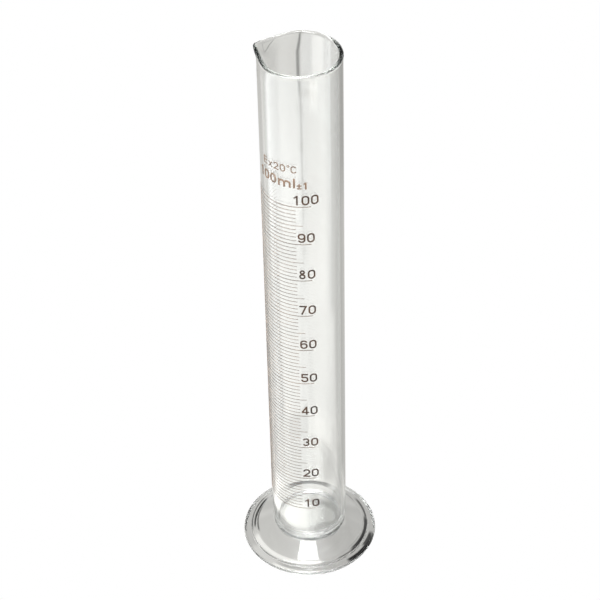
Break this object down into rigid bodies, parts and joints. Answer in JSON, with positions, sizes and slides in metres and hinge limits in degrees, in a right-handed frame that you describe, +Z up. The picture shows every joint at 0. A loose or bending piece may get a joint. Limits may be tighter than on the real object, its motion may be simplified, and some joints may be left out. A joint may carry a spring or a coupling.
{
  "type": "graduated cylinder",
  "caption": "Tall glass measuring cylinder with a pinched pouring lip, a fused round glass foot and a fired-on brown millilitre scale.",
  "frame": {"origin": "centre of the foot's underside, on the axis of the tube, in the plane the foot stands on", "axes": "+Z up along the tube axis towards the mouth, the numbers face -Y, +X is to the reader's right"},
  "size_m": [0.0548, 0.0548, 0.237],
  "materials": {
    "tube_glass": "polished, clear",
    "foot_glass": "pressed, fire-polished, clear",
    "seal_glass": "fused, clear",
    "scale_enamel": "fired-on brown enamel",
    "numeral_enamel": "fired-on brown enamel"
  },
  "bodies": {
    "root": {"measuring_tube": "tube_glass", "foot": "foot_glass", "foot_weld": "seal_glass", "one_ml_rings": "scale_enamel", "five_ml_rings": "scale_enamel", "ten_ml_rings": "scale_enamel", "numeral_10": "numeral_enamel", "numeral_20": "numeral_enamel", "numeral_30": "numeral_enamel", "numeral_40": "numeral_enamel", "numeral_50": "numeral_enamel", "numeral_60": "numeral_enamel", "numeral_70": "numeral_enamel", "numeral_80": "numeral_enamel", "numeral_90": "numeral_enamel", "numeral_100": "numeral_enamel", "capacity_legend": "numeral_enamel", "tolerance_legend": "numeral_enamel", "temperature_legend": "numeral_enamel"}
  },
  "joints": []
}
